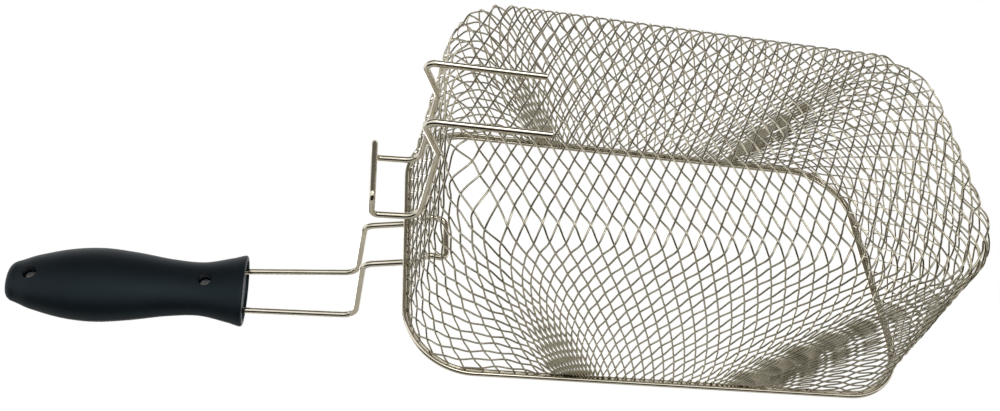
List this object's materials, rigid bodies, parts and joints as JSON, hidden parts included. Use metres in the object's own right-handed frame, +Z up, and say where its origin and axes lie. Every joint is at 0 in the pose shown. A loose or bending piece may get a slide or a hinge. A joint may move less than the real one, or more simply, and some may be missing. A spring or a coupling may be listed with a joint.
{
  "type": "deep fryer basket",
  "caption": "Rectangular woven-wire basket for deep frying, with a drain hook, and a long raised wire handle ending in a black two-piece screwed grip",
  "frame": {"origin": "the middle of the mesh floor's underside", "axes": "+Z up, out of the basket's mouth; X along the basket, with the handle and the drain hook towards -X; Y across"},
  "size_m": [0.4266, 0.1372, 0.1784],
  "materials": {
    "nickel_mesh": "bright nickel plate with a slight warm tint, on woven steel wire",
    "nickel_wire": "bright nickel plate with a slight warm tint, on round steel wire",
    "grip_plastic": "moulded satin black heat-resistant plastic",
    "screw_steel": "plated steel"
  },
  "bodies": {
    "root": {"mesh_floor": "nickel_mesh", "mesh_side_left": "nickel_mesh", "mesh_side_right": "nickel_mesh", "mesh_end_front": "nickel_mesh", "mesh_end_handle": "nickel_mesh", "mesh_fold_left": "nickel_mesh", "mesh_fold_right": "nickel_mesh", "mesh_fold_front": "nickel_mesh", "mesh_fold_handle": "nickel_mesh", "mesh_corner_front_left": "nickel_mesh", "mesh_corner_front_right": "nickel_mesh", "mesh_corner_handle_left": "nickel_mesh", "mesh_corner_handle_right": "nickel_mesh", "rim_outer_wire": "nickel_wire", "rim_inner_wire": "nickel_wire", "drain_hook_wire": "nickel_wire", "handle_wire": "nickel_wire", "grip_upper_shell": "grip_plastic", "grip_lower_shell": "grip_plastic", "grip_screw_front": "screw_steel", "grip_screw_rear": "screw_steel"}
  },
  "joints": []
}
